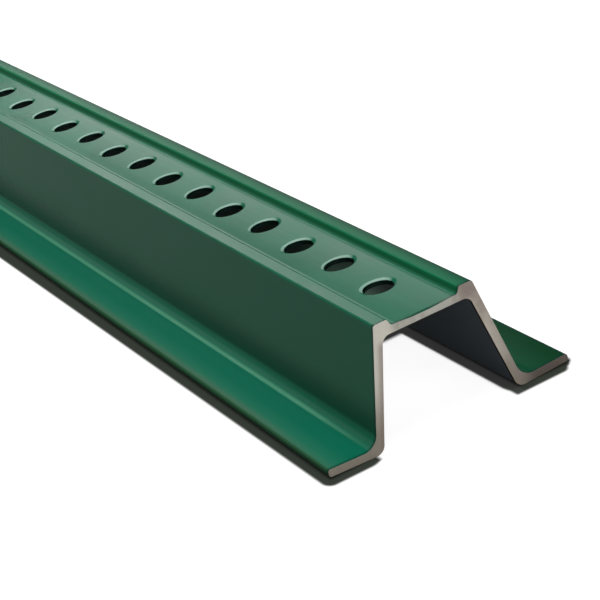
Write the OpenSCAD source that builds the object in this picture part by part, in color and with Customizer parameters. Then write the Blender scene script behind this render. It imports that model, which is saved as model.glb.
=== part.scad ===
// Rib-backed U-channel sign post, hot rolled from one bar and punched along its web.
// The post lies on its two heels: X runs along it, Y across it and Z up.
// The origin is on the floor, under the middle of the post.

/* [Stock] */
// Length of the post, 6 ft
post_length = 1828.8; // [304.8:25.4:3657.6]

/* [Section] */
// Width over both flange tips
flange_span = 81.2; // [76:0.2:96]
// Depth from the heels to the rib tops
post_depth = 37.4; // [32:0.1:44]
// Width over both ribs, at their tops
rib_span = 32.6; // [30:0.2:36]
// Width of the flat top of each rib
rib_top = 4.4; // [3:0.1:5.5]
// Height of the ribs above the web
rib_height = 2.1; // [1:0.1:3]
// Sideways run of the sloped inner side of each rib
rib_slope_run = 1; // [0.5:0.1:1.5]
// Thickness of the web at its edges
web_thickness = 2.2; // [1.6:0.1:3.5]
// How far the web's top is dished down along its middle
dish_depth = 0.3; // [0.1:0.05:0.5]
// Width of that dish
dish_width = 18.8; // [16:0.2:19.2]
// Lean of the outer face of each leg, in degrees from upright
leg_lean = 13.5; // [8:0.5:17]
// Thickness of each leg at the web, measured level
leg_top_thickness = 3; // [2:0.1:4]
// Thickness of each leg at the flange, measured level
leg_foot_thickness = 2.55; // [2:0.05:4]
// Thickness of the flanges
flange_thickness = 2.3; // [1.6:0.1:3.5]
// Rise of the flanges toward their tips, in degrees
flange_rise = 2.5; // [0:0.5:4]

/* [Roundings] */
// Radius on the outer corner of each rib
rib_corner_radius = 0.7; // [0.3:0.1:1.2]
// Radius in the corner between each rib and the web
rib_foot_radius = 1.2; // [0.4:0.1:1.5]
// Radius inside the channel, between web and leg
web_corner_radius = 2.8; // [1:0.1:5]
// Radius on the heel, between leg and flange
heel_radius = 3; // [1:0.1:4]
// Radius outside, between leg and flange top
flange_root_radius = 5; // [2:0.1:6]
// Radius on the edges of the flange tips
flange_tip_radius = 0.8; // [0.3:0.1:1]

/* [Punched holes] */
// Diameter of the holes, 3/8 in
hole_diameter = 9.525; // [6:0.025:11]
// Distance between neighbouring holes, 1 in
hole_pitch = 25.4; // [20:0.1:60]
// Distance from the near end to the first hole
first_hole = 26.9; // [15:0.1:40]
// Least distance from the far end to the last hole
last_hole_margin = 15; // [10:1:40]
// Sideways place of the first hole and every second one after it
odd_hole_side = 0.1; // [-1:0.1:1]
// Sideways place of the second hole and every second one after it
even_hole_side = 1.1; // [-1.5:0.1:1.5]
// How much farther along the even holes sit than an even pitch
even_hole_lag = 0.5; // [-1:0.1:1]
// Width of the lip that the punch rolled over round the top of each hole
lip_width = 1.05; // [0.5:0.05:1.2]
// Depth of that lip
lip_depth = 0.55; // [0.2:0.05:0.7]

/* [Sheared ends] */
// How far the web's top lies below its edges at the cut, where the shear dragged it down
drag_depth = 0.5; // [0.2:0.05:0.8]
// Distance from the cut over which the drag would rise to the height of the web's edges
drag_run = 3; // [1:0.1:6]
// Width of web that the shear dragged down
drag_width = 18; // [12:0.5:19]

/* [Hidden] */
green = "#1f6b52";
// Facets of a circle
fine = 64;
// How far a cutting shape runs past the face that it meets
past = 0.5;
// An arc's radius over its centre's distance from the faces that it joins: a hair over 1, so that
// the arc crosses those faces and doesn't only graze them
graze = 1.001;

hole_count = floor((post_length - first_hole - last_hole_margin) / hole_pitch) + 1;
near_end = post_length / 2;

// Heights and half widths of the section
web_top = post_depth - rib_height;
web_underside = web_top - web_thickness;
rib_outer = rib_span / 2;
rib_inner = rib_outer - rib_top;
rib_foot = rib_inner - rib_slope_run;
tip = flange_span / 2;

// The outer face of a leg leans out from the rib's outer corner, and the inner face leans a
// little more, because the leg thins toward its foot.
function leg_outer(z) = rib_outer + (post_depth - z) * tan(leg_lean);
leg_inner_top = leg_outer(web_underside) - leg_top_thickness;
leg_inner_foot = leg_outer(flange_thickness) - leg_foot_thickness;
leg_inner_slope = (leg_inner_foot - leg_inner_top) / (web_underside - flange_thickness);
inner_lean = atan(leg_inner_slope);
function leg_inner(z) = leg_inner_top + (web_underside - z) * leg_inner_slope;

// The heel's rounding touches the floor, so its centre is one radius up. The sharp corner that it
// replaces lies where the leg's inner face meets the flange's underside.
heel_to_face = heel_radius / graze;
heel_centre_y = leg_inner(heel_radius) + heel_to_face / cos(inner_lean);
underside_at_centre = heel_radius - heel_to_face / cos(flange_rise);
function underside(y) = underside_at_centre + (y - heel_centre_y) * tan(flange_rise);
heel_z = underside(leg_inner(0)) / (1 + leg_inner_slope * tan(flange_rise));
heel_y = leg_inner(heel_z);

// The flange's top is parallel to its underside, and meets the leg's outer face at its root.
function flange_top(y) = underside(y) + flange_thickness / cos(flange_rise);
root_z = flange_top(leg_outer(0)) / (1 + tan(leg_lean) * tan(flange_rise));
root_y = leg_outer(root_z);

// A bend is a corner that an arc rounds: the corner, the ways along its two faces, and how far
// the arc's centre lies from both
function unit(v) = v / norm(v);
function bend(corner, from, to, radius) =
    [corner, unit(from - corner), unit(to - corner), radius / graze];
function half_angle(b) = acos(b[1] * b[2]) / 2;
function arc_centre(b) = b[0] + unit(b[1] + b[2]) * b[3] / sin(half_angle(b));
function arc_start(b) = b[0] + b[1] * b[3] / tan(half_angle(b));
function arc_end(b) = b[0] + b[2] * b[3] / tan(half_angle(b));

// Sharp corners of the right half of the section
rib_foot_corner = [rib_foot, web_top];
rib_inner_corner = [rib_inner, post_depth];
rib_outer_corner = [rib_outer, post_depth];
flange_root = [root_y, root_z];
tip_top = [tip, flange_top(tip)];
tip_bottom = [tip, underside(tip)];
heel = [heel_y, heel_z];
web_corner = [leg_inner_top, web_underside];

// Bends in its hollow corners
rib_foot_bend = bend(rib_foot_corner, [0, web_top], rib_inner_corner, rib_foot_radius);
flange_root_bend = bend(flange_root, rib_outer_corner, tip_top, flange_root_radius);
web_bend = bend(web_corner, heel, [0, web_underside], web_corner_radius);
hollow_bends = [rib_foot_bend, flange_root_bend, web_bend];

// Bends on its outer corners
outer_bends = [
    bend(rib_inner_corner, rib_foot_corner, rib_outer_corner, rib_corner_radius),
    bend(rib_outer_corner, rib_inner_corner, flange_root, rib_corner_radius),
    bend(tip_top, flange_root, tip_bottom, flange_tip_radius),
    bend(tip_bottom, tip_top, heel, flange_tip_radius),
    bend(heel, tip_bottom, web_corner, heel_radius)
];

// The half outline runs over the rib, down the leg, round the flange and back under the web. A
// chord stands in for each hollow bend.
half_outline = [
    arc_start(rib_foot_bend), arc_end(rib_foot_bend), rib_inner_corner, rib_outer_corner,
    arc_start(flange_root_bend), arc_end(flange_root_bend), tip_top, tip_bottom, heel,
    arc_start(web_bend), arc_end(web_bend)
];
outline = concat(
    half_outline,
    [for (i = [len(half_outline) - 1:-1:0]) [-half_outline[i][0], half_outline[i][1]]]
);

// What a hollow bend takes off the outline: the circle that hollows out its chord
module hollow_cut(b) {
    translate(arc_centre(b)) circle(r = b[3] * graze, $fn = fine);
}

// What an outer bend takes off the outline: the kite of its corner, the arc's two ends and the
// arc's centre, less the circle. The kite is drawn a little larger, so that it runs past the faces.
module outer_cut(b) {
    centre = arc_centre(b);
    radius = b[3] * graze;
    growth = 1 + past / radius;
    ends = [arc_start(b), b[0], arc_end(b)];
    difference() {
        polygon(concat([centre], [for (p = ends) centre + (p - centre) * growth]));
        translate(centre) circle(r = radius, $fn = fine);
    }
}

// The dish in the web's top is the lowest part of a wide circle. It ends just short of the bends
// at the feet of the ribs.
dish_radius = (pow(dish_width / 2, 2) + pow(dish_depth, 2)) / (2 * dish_depth);
dish_room = 2 * arc_start(rib_foot_bend)[0] - past / 2;
function dish_height(y) =
    web_top - dish_depth + dish_radius - sqrt(pow(dish_radius, 2) - pow(y, 2));
module dish_cut() {
    intersection() {
        translate([0, web_top - dish_depth + dish_radius]) circle(r = dish_radius, $fn = fine);
        translate([0, web_top]) square([dish_room, 2 * (dish_depth + past)], center = true);
    }
}

module section() {
    difference() {
        polygon(outline);
        dish_cut();
        for (side = [0, 1])
            mirror([side, 0]) {
                for (b = hollow_bends) hollow_cut(b);
                for (b = outer_bends) outer_cut(b);
            }
    }
}

// The section stands in Y and Z and runs along X
module rolled_bar() {
    rotate([90, 0, 90])
        linear_extrude(height = post_length, center = true)
            section();
}

// What the shear dragged down at the near end: a shallow hollow in the web's top, as a large
// cylinder leaves it when its lowest line dips toward the end. It stays between the ribs.
drag_radius = (pow(drag_width / 2, 2) + pow(drag_depth, 2)) / (2 * drag_depth);
drag_dip = atan(drag_depth / drag_run);
drag_room = 2 * arc_start(rib_foot_bend)[0] - past;
module drag_cut() {
    reach = drag_run + past;
    translate([near_end, 0, web_top])
        intersection() {
            cube([2 * reach, drag_room, 2 * (drag_depth + past)], center = true);
            translate([0, 0, -drag_depth])
                rotate([0, drag_dip, 0])
                    translate([0, 0, drag_radius])
                        rotate([0, 90, 0])
                            cylinder(r = drag_radius, h = 4 * reach, center = true, $fn = fine);
        }
}

// The holes are punched two at a time, so every second one sits a little aside and along
function is_even(i) = i % 2 == 1;
function hole_x(i) = near_end - first_hole - i * hole_pitch - (is_even(i) ? even_hole_lag : 0);
function hole_y(i) = is_even(i) ? even_hole_side : odd_hole_side;

// The lip is an arc from the web's top to the bore. Its radius is some way over that of an arc
// that leaves the web level, so that it meets the web at an angle.
lip_ease = 2;
lip_radius = lip_ease * (pow(lip_width, 2) + pow(lip_depth, 2)) / (2 * lip_depth);
lip_outer = [hole_diameter / 2 + lip_width, 0];
lip_inner = [hole_diameter / 2, -lip_depth];
lip_half_chord = norm(lip_outer - lip_inner) / 2;
lip_centre = (lip_outer + lip_inner) / 2
    + unit([lip_depth, -lip_width]) * sqrt(pow(lip_radius, 2) - pow(lip_half_chord, 2));

// The web is dished, so a lip's level is that of the web where the lip comes nearest to a rib
function lip_height(i) = dish_height(lip_outer[0] + abs(hole_y(i)));

module lip_cut() {
    room = lip_radius + past;
    rotate_extrude($fn = fine)
        translate(lip_centre)
            difference() {
                translate([-room, 0]) square(room);
                circle(r = lip_radius, $fn = fine);
            }
}

module punched_hole() {
    translate([0, 0, -web_thickness - past])
        cylinder(d = hole_diameter, h = web_thickness + 2 * past, $fn = fine);
    lip_cut();
}

module punched_holes() {
    for (i = [0:hole_count - 1])
        translate([hole_x(i), hole_y(i), lip_height(i)])
            punched_hole();
}

module post() {
    color(green)
        difference() {
            rolled_bar();
            punched_holes();
            for (side = [0, 1]) mirror([side, 0, 0]) drag_cut();
        }
}

post();
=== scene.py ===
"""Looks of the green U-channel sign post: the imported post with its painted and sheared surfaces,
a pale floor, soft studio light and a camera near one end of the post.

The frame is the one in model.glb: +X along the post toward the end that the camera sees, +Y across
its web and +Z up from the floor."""

import math
from types import SimpleNamespace

import bpy
from mathutils import Matrix, Vector


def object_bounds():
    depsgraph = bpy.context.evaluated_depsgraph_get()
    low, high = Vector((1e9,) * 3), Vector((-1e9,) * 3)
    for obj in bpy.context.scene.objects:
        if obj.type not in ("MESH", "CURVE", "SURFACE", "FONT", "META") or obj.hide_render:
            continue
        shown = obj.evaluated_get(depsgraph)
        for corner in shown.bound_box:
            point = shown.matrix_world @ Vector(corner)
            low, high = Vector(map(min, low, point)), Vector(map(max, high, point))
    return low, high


MM = 0.001

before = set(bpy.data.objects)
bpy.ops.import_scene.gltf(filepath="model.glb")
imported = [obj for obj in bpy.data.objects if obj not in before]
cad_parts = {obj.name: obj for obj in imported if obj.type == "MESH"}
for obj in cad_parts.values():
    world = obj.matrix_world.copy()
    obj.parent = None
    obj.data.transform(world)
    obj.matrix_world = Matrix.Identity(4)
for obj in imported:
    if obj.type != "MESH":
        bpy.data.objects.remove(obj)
cad_low, cad_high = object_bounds()
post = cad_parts["post"]
NEAR_END = cad_high.x

# ---------------------------------------------------------------- node helpers


class Nodes:
    """Short calls that add and join the nodes of one tree."""

    def __init__(self, tree):
        self.tree = tree
        tree.nodes.clear()

    def add(self, kind, **values):
        node = self.tree.nodes.new(kind)
        for name, value in values.items():
            setattr(node, name, value)
        return node

    def join(self, source, target):
        self.tree.links.new(source, target)

    def put(self, socket, value):
        if isinstance(value, bpy.types.NodeSocket):
            self.join(value, socket)
        else:
            socket.default_value = value

    def split(self, vector):
        """The three parts of a vector."""
        node = self.add("ShaderNodeSeparateXYZ")
        self.join(vector, node.inputs[0])
        return node.outputs

    def math(self, operation, a, b=0.0, c=0.0, clamp=False):
        node = self.add("ShaderNodeMath", operation=operation, use_clamp=clamp)
        for socket, value in zip(node.inputs, (a, b, c)):
            self.put(socket, value)
        return node.outputs[0]

    def times(self, *values):
        """The product of two or more values."""
        product = values[0]
        for value in values[1:]:
            product = self.math("MULTIPLY", product, value)
        return product

    def ramp(self, value, low, high, out_low=0.0, out_high=1.0, smooth=True):
        node = self.add("ShaderNodeMapRange")
        node.interpolation_type = "SMOOTHSTEP" if smooth else "LINEAR"
        for socket, v in zip(node.inputs, (value, low, high, out_low, out_high)):
            self.put(socket, v)
        return node.outputs[0]

    def fade(self, place, span, low=0.0, high=1.0):
        """low at the first place of span and high at the second, with both places in mm."""
        start, end = span
        return self.ramp(place, start * MM, end * MM, low, high)

    def mix(self, factor, a, b):
        """A colour between a and b."""
        node = self.add("ShaderNodeMix", data_type="RGBA", clamp_factor=True)
        self.put(node.inputs["Factor"], factor)
        for socket, value in zip(node.inputs[6:8], (a, b)):
            self.put(socket, value if isinstance(value, bpy.types.NodeSocket) else (*value, 1))
        return node.outputs[2]

    def noise(self, place, scale, detail, stretch=(1, 1, 1)):
        spread = self.add("ShaderNodeMapping")
        spread.inputs["Scale"].default_value = stretch
        self.join(place, spread.inputs["Vector"])
        node = self.add("ShaderNodeTexNoise")
        self.join(spread.outputs["Vector"], node.inputs["Vector"])
        node.inputs["Scale"].default_value = scale
        node.inputs["Detail"].default_value = detail
        return node.outputs["Fac"]


# ------------------------------------------------------------- the post's colours

# enamel: its own tones, and painted shade, light, sheen and highlights, as said where they are
# used
GREEN = (0.002, 0.140, 0.070)
GREEN_DEEP = (0.001, 0.112, 0.056)
GREEN_PALE = (0.008, 0.165, 0.088)
GREEN_PAINTED_SHADE = (0.001, 0.035, 0.020)
GREEN_LEG_SHADE = (0.001, 0.108, 0.053)
GREEN_LOW_LEG_SHADE = (0.001, 0.070, 0.035)
GREEN_RIB = (0.001, 0.138, 0.058)
GREEN_RIB_FAR_SHADE = (0.001, 0.068, 0.032)
GREEN_SLOPE_HIGHLIGHT = (0.002, 0.230, 0.095)
GREEN_FOOT_SHADE = (0.001, 0.105, 0.034)
GREEN_FLANGE_SHADE = (0.001, 0.066, 0.027)
GREEN_FLANGE_FAR_SHADE = (0.001, 0.044, 0.014)
GREEN_TEAL = (0.001, 0.132, 0.075)
GREEN_TIP_SHEEN = (0.016, 0.160, 0.092)
GREEN_BRIM_SHEEN = (0.060, 0.150, 0.095)
GREEN_ROOT_LIGHT = (0.006, 0.145, 0.080)
GREEN_CREASE_HIGHLIGHT = (0.055, 0.270, 0.157)
GREEN_EDGE_SHADE = (0.020, 0.095, 0.040)

# inside of the channel, and the punched holes, with painted reflection, shade and highlight as
# said where they are used
INSIDE_REFLECTION = (0.125, 0.150, 0.175)
INSIDE_DEEP = (0.090, 0.175, 0.125)
INSIDE_RIM = (0.020, 0.008, 0.003)
HOLE_WALL_SHADE = (0.002, 0.012, 0.009)
LIP_HIGHLIGHT = (0.240, 0.410, 0.330)

# bare steel of the sheared ends, with painted shade and light as said where they are used
STEEL = (0.62, 0.56, 0.48)
STEEL_LOW_SHADE = (0.37, 0.33, 0.275)
STEEL_WEB = (0.62, 0.61, 0.54)
STEEL_DARK = (0.34, 0.28, 0.25)
STEEL_PAINTED_LIGHT = (0.92, 0.89, 0.79)
STEEL_FLANGE_SHADE = (0.105, 0.088, 0.075)

# -------------------------------------------------------- where the colours change

# Each pair is a fade, in mm: none of a colour at the first place and all of it at the second.
# The last word says what is measured: Y across the post, ACROSS the distance from its middle,
# Z the height over the floor, DEPTH the distance from the nearer end, and RUN the distance from
# the end that the camera sees.
LEG_ACROSS = (15, 16.5)
LEG_Z = (37, 36)
LOW_LEG_Z = (17, 9)
LOW_LEG_FOOT_Z = (5.4, 6.8)
RIB_Y = (10.5, 12)
RIB_Z = (34, 35)
RIB_TOP_Y = (13, 16)
SLOPE_Y = (14, 13.6)
SLOPE_LOW_Z = (35.8, 36.6)
SLOPE_HIGH_Z = (37.4, 37.2)
FOOT_INNER_Y = (10.4, 11)
FOOT_OUTER_Y = (12, 11.5)
FLANGE_Z = (12, 7)
PLUS_FLANGE_Y = (22, 25)
PLUS_FLANGE_FAR_Y = (26, 39)
MINUS_FLANGE_Y = (-25, -28)
TIP_Y = (-32, -39.5)
BRIM_Y = (-37, -40)
BRIM_RUN = (0, 60)
ROOT_INNER_Y = (-23.6, -24.4)
ROOT_OUTER_Y = (-27.4, -26.6)
ROOT_Z = (6.6, 5.6)
ROOT_RUN = (0, 90)
CREASE_LINE = -26.7
CREASE_ACROSS = (0.95, 0.2)  # from CREASE_LINE
CREASE_Z = (9, 8)
CREASE_RUN = (0, 45)
EDGE_ACROSS = (39.7, 40.1)
DARK_EDGE_Y = (39.2, 39.8)

# The middle of a leg's wall is this far from the post's middle at the floor, and leans inward.
WALL_MIDDLE = 24.0
WALL_LEAN = 0.247
INWARD_ACROSS = (-0.2, 0.2)  # from the middle of the wall
UNDER_WEB_Z = (34.1, 33.7)
INSIDE_DEPTH = (50, 80)
RIM_DEPTH = (1.6, 0.8)
EDGE_SHADE_DEPTH = (1.7, 0.5)

# The holes' walls and lips lie within HOLES_ACROSS of the middle and above these heights. A tilt
# is the upward part of the normal, and TOWARD_END is its part along the post.
HOLES_ACROSS = 8
HOLES_ABOVE = 33
LIPS_ABOVE = 34.5
WALL_TILT = (0.45, 0.25)
LIP_TILT = (0.985, 0.90)
TOWARD_END = (0.0, 0.2)

CUT_SKIN = 0.05
STEEL_Z = (2, 28)
WEB_ACROSS = (12, 10)
WEB_Z = (32, 33)
MINUS_LEG_Y = (-9, -13)
MINUS_LEG_Z = (6, 24)
PLUS_LEG_Y = (16, 18)
PLUS_LEG_TOP_Z = (28, 24)
PLUS_LEG_Z = (8, 14)
PLUS_TIP_Y = (24, 30)
PLUS_TIP_Z = (10, 4)
PLUS_RIB_Y = (10, 13)
PLUS_RIB_Z = (31, 35)
WALL_SIDES_Y = (-1.2, 1.2)  # from the middle of the wall
WALL_SIDES_Z = (33, 30)
MIDDLE_Y = (-1, 1)

# ------------------------------------------------------------- the post's finish

NOISE_SPAN = (0.2, 0.8)
STREAK_SPAN = (0.45, 0.75)
GRAIN_SPAN = (0.40, 0.80)
SPECULAR = 0.15
ENAMEL_ROUGHNESS = (0.22, 0.27)
ROUGHER_INSIDE = 0.4
ROUGHER_EDGE = 0.6
ROUGHER_CUT = 0.2
CUT_METALLIC = 0.4
PEEL_STRENGTH = 0.2
PEEL_HEIGHT = 0.05


def post_places(n):
    """Where a point of the post lies, as sockets."""
    at = SimpleNamespace(place=n.add("ShaderNodeTexCoord").outputs["Object"])
    x, at.y, at.z = n.split(at.place)
    at.across = n.math("ABSOLUTE", at.y)
    at.run = n.math("SUBTRACT", NEAR_END, x)
    at.depth = n.math("SUBTRACT", NEAR_END, n.math("ABSOLUTE", x))
    at.wall_middle = n.math("MULTIPLY_ADD", at.z, -WALL_LEAN, WALL_MIDDLE * MM)
    inward = n.fade(n.math("SUBTRACT", at.wall_middle, at.across), INWARD_ACROSS)
    at.inside = n.times(inward, n.fade(at.z, UNDER_WEB_Z))
    at.edge = n.fade(at.across, EDGE_ACROSS)
    return at


def enamel_outside(n, at, mottle):
    """Green of the web, ribs, legs and flanges."""
    y, z = at.y, at.z
    streak = n.noise(at.place, scale=520, detail=2, stretch=(0.02, 1, 1))
    tone = n.mix(n.ramp(mottle, *NOISE_SPAN), GREEN_DEEP, GREEN)
    tone = n.mix(n.ramp(streak, *STREAK_SPAN, out_high=0.3), tone, GREEN_PALE)

    # painted shade on the legs, deeper toward their feet
    leg = n.times(n.fade(z, LEG_Z), n.fade(at.across, LEG_ACROSS))
    tone = n.mix(leg, tone, GREEN_LEG_SHADE)
    low_leg = n.times(n.fade(z, LOW_LEG_Z), n.fade(z, LOW_LEG_FOOT_Z), leg)
    tone = n.mix(low_leg, tone, GREEN_LOW_LEG_SHADE)

    # the +Y rib: painted shade on its top toward its outer side, a painted highlight on the slope
    # toward the web and painted shade at the slope's foot
    rib = n.times(n.fade(y, RIB_Y), n.fade(z, RIB_Z))
    tone = n.mix(rib, tone, n.mix(n.fade(y, RIB_TOP_Y), GREEN_RIB, GREEN_RIB_FAR_SHADE))
    slope = n.times(n.fade(z, SLOPE_LOW_Z), n.fade(z, SLOPE_HIGH_Z), rib, n.fade(y, SLOPE_Y))
    tone = n.mix(slope, tone, GREEN_SLOPE_HIGHLIGHT)
    foot = n.times(n.fade(y, FOOT_INNER_Y), n.fade(y, FOOT_OUTER_Y), n.fade(z, RIB_Z, high=0.7))
    tone = n.mix(foot, tone, GREEN_FOOT_SHADE)

    # painted shade darkens the +Y flange, and the -Y one is teal and pales toward its tip in
    # painted sheen, with more painted sheen along its outer edge
    flange = n.times(n.fade(y, PLUS_FLANGE_Y), n.fade(z, FLANGE_Z))
    flange_tone = n.mix(n.fade(y, PLUS_FLANGE_FAR_Y), GREEN_FLANGE_SHADE, GREEN_FLANGE_FAR_SHADE)
    tone = n.mix(flange, tone, flange_tone)
    flange = n.times(n.fade(y, MINUS_FLANGE_Y), n.fade(z, FLANGE_Z))
    tone = n.mix(flange, tone, GREEN_TEAL)
    tone = n.mix(n.fade(y, TIP_Y), tone, GREEN_TIP_SHEEN)
    tone = n.mix(n.times(n.fade(at.run, BRIM_RUN, low=0.3), n.fade(y, BRIM_Y)), tone, GREEN_BRIM_SHEEN)

    # painted light on the fillet between the -Y leg and its flange, and a painted highlight along
    # the crease beside it
    root = n.times(n.fade(y, ROOT_INNER_Y), n.fade(z, ROOT_Z), n.fade(y, ROOT_OUTER_Y))
    tone = n.mix(n.times(root, n.fade(at.run, ROOT_RUN, low=0.4)), tone, GREEN_ROOT_LIGHT)
    from_line = n.math("ABSOLUTE", n.math("ADD", y, -CREASE_LINE * MM))
    crease = n.times(n.fade(from_line, CREASE_ACROSS), n.fade(z, CREASE_Z))
    tone = n.mix(n.times(crease, n.fade(at.run, CREASE_RUN, low=0.1)), tone, GREEN_CREASE_HIGHLIGHT)

    # painted shade on the edges of the flanges, darkest on the +Y flange's rounded edge
    tone = n.mix(at.edge, tone, GREEN_EDGE_SHADE)
    return n.mix(n.fade(y, DARK_EDGE_Y), tone, GREEN_PAINTED_SHADE)


def enamel_inside(n, at, tone):
    """Tone with the inside of the channel, grey-blue in place of the green as a painted dim
    reflection, greener farther in and dark at its sheared edge.
    """
    inside_tone = n.mix(n.fade(at.depth, INSIDE_DEPTH), INSIDE_REFLECTION, INSIDE_DEEP)
    tone = n.mix(at.inside, tone, inside_tone)
    return n.mix(n.times(at.inside, n.fade(at.depth, RIM_DEPTH)), tone, INSIDE_RIM)


def enamel_at_holes(n, at, tone):
    """Tone with painted shade on the walls of the holes and a painted highlight on the side of
    their rolled lips that faces the near end.
    """
    normal = n.split(n.add("ShaderNodeNewGeometry").outputs["Normal"])
    steep = n.ramp(n.math("ABSOLUTE", normal[2]), *WALL_TILT)
    midway = n.math("LESS_THAN", at.across, HOLES_ACROSS * MM)
    high = n.math("GREATER_THAN", at.z, HOLES_ABOVE * MM)
    tone = n.mix(n.times(steep, midway, high), tone, HOLE_WALL_SHADE)

    above = n.math("GREATER_THAN", at.z, LIPS_ABOVE * MM)
    lip_highlight = n.times(n.ramp(normal[2], *LIP_TILT), midway, above)
    facing_end = n.ramp(normal[0], *TOWARD_END)
    lip_highlight = n.math("MULTIPLY", lip_highlight, n.math("SUBTRACT", facing_end, steep), clamp=True)
    return n.mix(lip_highlight, tone, LIP_HIGHLIGHT)


def bare_steel(n, at):
    """Steel of the sheared ends: painted shade low down and on the +Y side, painted light on the
    legs, and brighter on the web.
    """
    y, z = at.y, at.z
    # painted shade: darker and browner low down
    steel = n.mix(n.fade(z, STEEL_Z), STEEL_LOW_SHADE, STEEL)
    web = n.times(n.fade(at.across, WEB_ACROSS), n.fade(z, WEB_Z))
    steel = n.mix(web, steel, STEEL_WEB)
    grain = n.noise(at.place, scale=260, detail=3)
    steel = n.mix(n.ramp(grain, *GRAIN_SPAN, out_high=0.5), steel, STEEL_DARK)

    # painted light: brighter up the -Y leg and at mid height on the +Y leg
    minus_leg = n.times(n.fade(y, MINUS_LEG_Y), n.fade(z, MINUS_LEG_Z, high=0.8))
    steel = n.mix(minus_leg, steel, STEEL_PAINTED_LIGHT)
    plus_leg = n.times(n.fade(y, PLUS_LEG_Y), n.fade(z, PLUS_LEG_TOP_Z))
    plus_leg = n.times(plus_leg, n.fade(z, PLUS_LEG_Z, high=0.3))
    steel = n.mix(plus_leg, steel, STEEL_PAINTED_LIGHT)
    # painted shade on the ends of the +Y flange and the +Y rib
    plus_tip = n.times(n.fade(y, PLUS_TIP_Y), n.fade(z, PLUS_TIP_Z))
    steel = n.mix(plus_tip, steel, STEEL_FLANGE_SHADE)
    plus_rib = n.times(n.fade(y, PLUS_RIB_Y), n.fade(z, PLUS_RIB_Z, high=0.8))
    steel = n.mix(plus_rib, steel, STEEL_DARK)

    # painted shade: each leg is darker on its +Y side
    past_middle = n.math("SUBTRACT", at.across, at.wall_middle)
    shaded = n.fade(n.times(past_middle, n.math("SIGN", y)), WALL_SIDES_Y)
    shaded = n.times(shaded, n.fade(z, WALL_SIDES_Z), n.fade(y, MIDDLE_Y, low=0.65, high=0.3))
    return n.mix(shaded, steel, STEEL_DARK)


def post_finish():
    """The post's one material: green enamel, and bare steel on the sheared ends."""
    material = bpy.data.materials.new("green_enamel")
    material.use_nodes = True
    n = Nodes(material.node_tree)
    at = post_places(n)
    mottle = n.noise(at.place, scale=45, detail=3)

    tone = enamel_outside(n, at, mottle)
    tone = enamel_inside(n, at, tone)
    tone = enamel_at_holes(n, at, tone)

    # painted shade along the sheared edges, but for those inside the channel
    edge_shade = n.fade(at.depth, EDGE_SHADE_DEPTH, high=0.7)
    edge_shade = n.times(edge_shade, n.math("SUBTRACT", 1, at.inside))
    tone = n.mix(edge_shade, tone, GREEN_PAINTED_SHADE)
    cut = n.math("LESS_THAN", at.depth, CUT_SKIN * MM)

    shader = n.add("ShaderNodeBsdfPrincipled")
    shader.inputs["Specular IOR Level"].default_value = SPECULAR
    n.join(n.mix(cut, tone, bare_steel(n, at)), shader.inputs["Base Color"])
    n.join(n.times(cut, CUT_METALLIC), shader.inputs["Metallic"])
    rough = n.ramp(mottle, *NOISE_SPAN, *ENAMEL_ROUGHNESS)
    for mask, more in ((at.inside, ROUGHER_INSIDE), (at.edge, ROUGHER_EDGE), (cut, ROUGHER_CUT)):
        rough = n.math("MULTIPLY_ADD", mask, more, rough)
    n.join(rough, shader.inputs["Roughness"])

    # orange peel of the enamel
    bump = n.add("ShaderNodeBump")
    bump.inputs["Strength"].default_value = PEEL_STRENGTH
    bump.inputs["Distance"].default_value = PEEL_HEIGHT * MM
    n.join(n.noise(at.place, scale=420, detail=2), bump.inputs["Height"])
    n.join(bump.outputs[0], shader.inputs["Normal"])

    out = n.add("ShaderNodeOutputMaterial")
    n.join(shader.outputs[0], out.inputs["Surface"])
    return material


finish = post_finish()
for slot in post.material_slots:
    slot.material = finish

# ------------------------------------------------------------------------- floor

FLOOR_SIZE = 80.0
FLOOR_GREY = 0.25
FLOOR_GLOW = 0.92
MIRROR_GLOW = 0.08

# The dark line where the post meets the floor, a painted contact shadow. Places and widths are in
# mm.
CONTACT_SHADOW = (0.034, 0.042, 0.032)
CONTACT_GLOW = 0.006
OCCLUSION_DISTANCE = 5
OCCLUSION_SAMPLES = 32
OCCLUSION_SPAN = (0.74, 0.87)
END_SHARE = 0.72  # distances past an end count this much of those past a side
PLUS_SIDE_INSET = 4.2
REACH_AT_END = 2.2
REACH_FAR = 4.1
REACH_RUN = 300
REACH_SOFT = (1.3, 0)
MINUS_TAPER_Y = (-22, -29)
PLUS_TAPER_Y = (0, 1)
UNDER_MINUS_Y = (-24, -26)
UNDER_PLUS_Y = (19.2, 20.6)
BARE_FROM_Y = (-26, -24)
BARE_TO_Y = (8, 4)

# Painted shadow on the floor deep in the channel, and a patch there that glows as painted light
CHANNEL_DARK = 0.028
CHANNEL_ACROSS = (24, 22)
DEEP_DEPTH = (60.5, 63.5)
BACK_GLOW = 1.4
BACK_FROM_DEPTH = (62, 76)
BACK_TO_DEPTH = (118, 98)
BACK_FROM_Y = 10
BACK_TO_Y = 22


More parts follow.
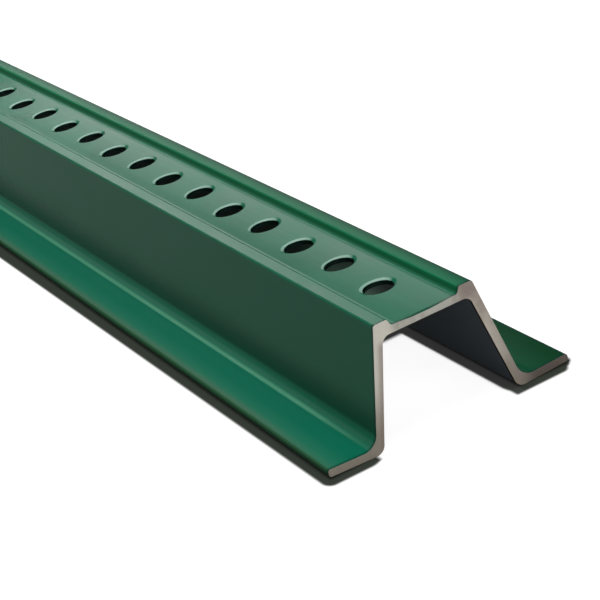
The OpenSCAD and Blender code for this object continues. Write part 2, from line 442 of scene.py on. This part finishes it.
def floor_contact(n, x, y, channel, depth):
    """1 on the open floor and 0 on the painted contact shadow and on the painted shadow deep in
    the channel.
    """
    near = n.add("ShaderNodeAmbientOcclusion", samples=OCCLUSION_SAMPLES)
    near.inputs["Distance"].default_value = OCCLUSION_DISTANCE * MM
    open_floor = n.ramp(near.outputs["AO"], *OCCLUSION_SPAN)

    # the painted shadow line reaches a little way out from under the flanges, mostly on the -Y
    # side
    past_end = n.math("MAXIMUM", n.math("SUBTRACT", 0, depth), 0)
    past_end = n.times(past_end, END_SHARE)
    side = n.fade(y, MIDDLE_Y, low=cad_high.y, high=cad_high.y - PLUS_SIDE_INSET * MM)
    past_side = n.math("MAXIMUM", n.math("SUBTRACT", n.math("ABSOLUTE", y), side), 0)
    away = n.math("MULTIPLY_ADD", past_end, past_end, n.times(past_side, past_side))
    ends = (NEAR_END, NEAR_END - REACH_RUN * MM)
    reach = n.ramp(x, *ends, REACH_AT_END * MM, REACH_FAR * MM, smooth=False)
    taper = n.math("MAXIMUM", n.fade(y, MINUS_TAPER_Y, low=0.2), n.fade(y, PLUS_TAPER_Y))
    outside = n.math("SUBTRACT", n.math("SQRT", away), n.times(reach, taper))
    flanges = n.math("ADD", n.fade(y, UNDER_MINUS_Y), n.fade(y, UNDER_PLUS_Y))
    under = n.times(n.fade(outside, REACH_SOFT), flanges)
    bare = n.times(n.fade(y, BARE_FROM_Y), n.fade(y, BARE_TO_Y))
    contact = n.math("MAXIMUM", n.times(open_floor, n.math("SUBTRACT", 1, under)), bare)

    # painted shadow deep in the channel
    deep = n.times(n.fade(depth, DEEP_DEPTH), channel)
    return n.times(contact, n.math("SUBTRACT", 1, deep))


def floor():
    """A pale floor. Part of its white is its own colour, and most is a glow that the camera sees,
    and mirror and glass rays faintly, so that its shadows stay light but for a painted contact
    shadow. Deep in the channel it carries a painted shadow, and a patch of it near each end glows
    for diffuse rays only, as painted light on the foot of the +Y leg."""
    bpy.ops.mesh.primitive_plane_add(size=FLOOR_SIZE, location=(0, 0, 0))
    plane = bpy.context.object
    plane.name = "floor"
    material = bpy.data.materials.new("pale_floor")
    material.use_nodes = True
    n = Nodes(material.node_tree)
    x, y = n.split(n.add("ShaderNodeNewGeometry").outputs["Position"])[:2]
    depth = n.math("SUBTRACT", NEAR_END, n.math("ABSOLUTE", x))
    channel = n.fade(n.math("ABSOLUTE", y), CHANNEL_ACROSS)
    contact = floor_contact(n, x, y, channel, depth)
    matt = n.add("ShaderNodeBsdfDiffuse")
    n.join(n.mix(contact, CONTACT_SHADOW, (FLOOR_GREY,) * 3), matt.inputs["Color"])

    ray = n.add("ShaderNodeLightPath").outputs
    darkest = n.ramp(channel, 0, 1, CONTACT_GLOW, CHANNEL_DARK)
    seen = n.ramp(contact, 0, 1, darkest, 1.0, smooth=False)
    seen = n.times(ray["Is Camera Ray"], seen)
    mirrored = n.math("MAXIMUM", ray["Is Glossy Ray"], ray["Is Transmission Ray"])
    mirrored = n.times(mirrored, MIRROR_GLOW)
    # painted light: a patch of floor in the channel that glows for diffuse rays and lights the +Y
    # leg's foot
    back = n.times(n.fade(depth, BACK_FROM_DEPTH), n.fade(depth, BACK_TO_DEPTH))
    back = n.times(back, n.math("GREATER_THAN", y, BACK_FROM_Y * MM))
    back = n.times(back, n.math("LESS_THAN", y, BACK_TO_Y * MM))
    back = n.times(back, ray["Is Diffuse Ray"], BACK_GLOW)
    glow = n.add("ShaderNodeEmission")
    shine = n.math("MULTIPLY_ADD", seen, FLOOR_GLOW, n.math("ADD", mirrored, back))
    n.join(shine, glow.inputs["Strength"])

    both = n.add("ShaderNodeAddShader")
    n.join(matt.outputs[0], both.inputs[0])
    n.join(glow.outputs[0], both.inputs[1])
    out = n.add("ShaderNodeOutputMaterial")
    n.join(both.outputs[0], out.inputs["Surface"])
    plane.data.materials.append(material)


floor()

# ------------------------------------------------------------------------- light

WORLD_GLOW = 0.064
WALL_GLOW = 1.0
WALL_HEIGHT = (0.20, 0.10)
AREA_LAMP_WATTS = 4  # per square metre, for a brightness of 1


def sun(name, toward, strength, angle):
    """A soft lamp far off in the direction toward, spread over angle degrees."""
    data = bpy.data.lights.new(name, "SUN")
    data.energy = strength * math.pi
    data.angle = math.radians(angle)
    lamp = bpy.data.objects.new(name, data)
    lamp.rotation_mode = "QUATERNION"
    lamp.rotation_quaternion = Vector(toward).to_track_quat("Z", "Y")
    bpy.context.scene.collection.objects.link(lamp)


def strip(name, centre, length, height, brightness):
    """A long, narrow lamp beside the post and along it, turned toward the post's top."""
    data = bpy.data.lights.new(name, "AREA")
    data.shape = "RECTANGLE"
    data.size = length
    data.size_y = height
    data.energy = AREA_LAMP_WATTS * length * height * brightness
    lamp = bpy.data.objects.new(name, data)
    lamp.location = centre
    lamp.rotation_mode = "QUATERNION"
    away = Vector((0, centre[1], centre[2] - cad_high.z))
    lamp.rotation_quaternion = away.to_track_quat("Z", "Y")
    lamp.visible_camera = False
    bpy.context.scene.collection.objects.link(lamp)


def heading(azimuth, elevation):
    """Direction azimuth degrees from -X toward +Y, elevation degrees above the floor."""
    a, e = math.radians(azimuth), math.radians(elevation)
    return (-math.cos(e) * math.cos(a), math.cos(e) * math.sin(a), math.sin(e))


def studio():
    """A dim world. Its lowest part is a white wall for the camera, and a faint one for mirror and
    glass rays."""
    world = bpy.data.worlds.new("studio")
    world.use_nodes = True
    n = Nodes(world.node_tree)
    height = n.split(n.add("ShaderNodeTexCoord").outputs["Generated"])[2]
    ray = n.add("ShaderNodeLightPath").outputs
    seen = n.math("MAXIMUM", ray["Is Glossy Ray"], ray["Is Transmission Ray"])
    seen = n.math("MULTIPLY_ADD", seen, MIRROR_GLOW, ray["Is Camera Ray"])
    low_wall = n.ramp(height, *WALL_HEIGHT, 0.0, WALL_GLOW - WORLD_GLOW)
    background = n.add("ShaderNodeBackground")
    background.inputs["Color"].default_value = (1, 1, 1, 1)
    glow = n.math("MULTIPLY_ADD", seen, low_wall, WORLD_GLOW)
    n.join(glow, background.inputs["Strength"])
    out = n.add("ShaderNodeOutputWorld")
    n.join(background.outputs[0], out.inputs["Surface"])
    bpy.context.scene.world = world


sun("overhead_softbox", toward=(-0.10, 0.0, 1.0), strength=0.74, angle=50)
strip(
    "strip_light",
    centre=(NEAR_END - 0.545, 0.12, 0.200),
    length=0.60,
    height=0.036,
    brightness=3.15,
)
sun("crease_light", toward=heading(azimuth=-5, elevation=30), strength=0.008, angle=5)
sun("left_card", toward=heading(azimuth=-24, elevation=22), strength=0.022, angle=24)
sun("front_fill", toward=heading(azimuth=180, elevation=18), strength=0.54, angle=60)
studio()

# ------------------------------------------------------------------------ camera

CAMERA_OFFSET = Vector((0.4683, -0.2193, 0.2694))
AZIMUTH = 68.5
ELEVATION = 23.2
ROLL = -15.7
SENSOR_WIDTH = 36
FOCAL_LENGTH = 122.94

camera_data = bpy.data.cameras.new("camera")
camera_data.sensor_width = SENSOR_WIDTH
camera_data.lens = FOCAL_LENGTH
camera = bpy.data.objects.new("camera", camera_data)
camera.matrix_world = (
    Matrix.Translation(Vector((NEAR_END, 0, 0)) + CAMERA_OFFSET)
    @ Matrix.Rotation(math.radians(AZIMUTH), 4, "Z")
    @ Matrix.Rotation(math.radians(90 - ELEVATION), 4, "X")
    @ Matrix.Rotation(math.radians(ROLL), 4, "Z")
)
bpy.context.scene.collection.objects.link(camera)
bpy.context.scene.camera = camera
bpy.context.scene.view_settings.view_transform = "Standard"
